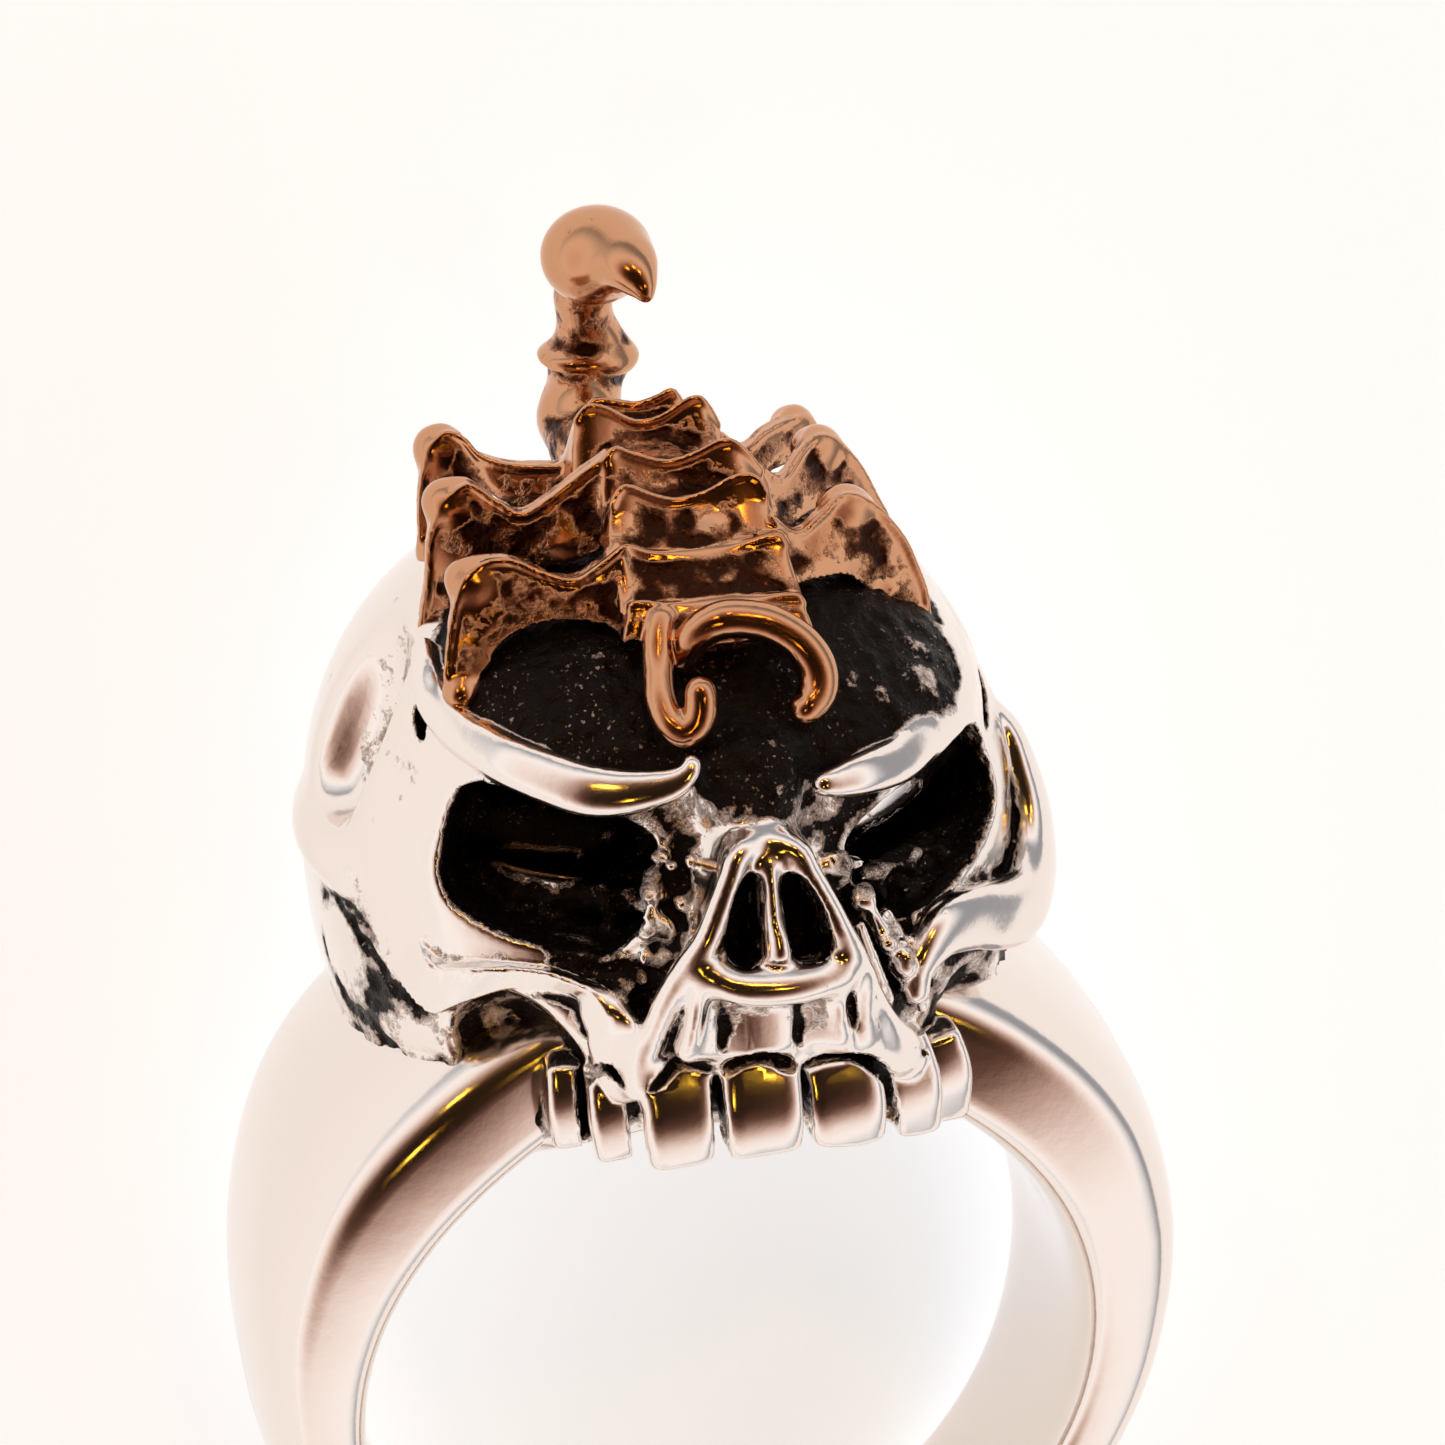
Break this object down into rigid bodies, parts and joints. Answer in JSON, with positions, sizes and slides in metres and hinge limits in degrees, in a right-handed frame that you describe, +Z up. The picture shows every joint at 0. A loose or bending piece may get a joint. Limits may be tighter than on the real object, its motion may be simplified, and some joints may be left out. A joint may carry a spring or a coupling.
{
  "type": "skull ring",
  "caption": "Heavy finger ring: a silver skull without a lower jaw, with a bronze scorpion on its crown, on a tapering band.",
  "frame": {"origin": "below the middle of the whole ring, on the surface that it lies on", "axes": "+Z up, towards the skull's face; +Y towards the crown and the scorpion's tail; +X to the right in the picture"},
  "size_m": [0.0268, 0.0444, 0.0219],
  "materials": {
    "silver": "oxidised sterling silver, polished on the high points",
    "bronze": "cast bronze, polished rims over dark pitted hollows"
  },
  "bodies": {
    "root": {"skull_ring": "silver", "scorpion": "bronze"}
  },
  "joints": []
}
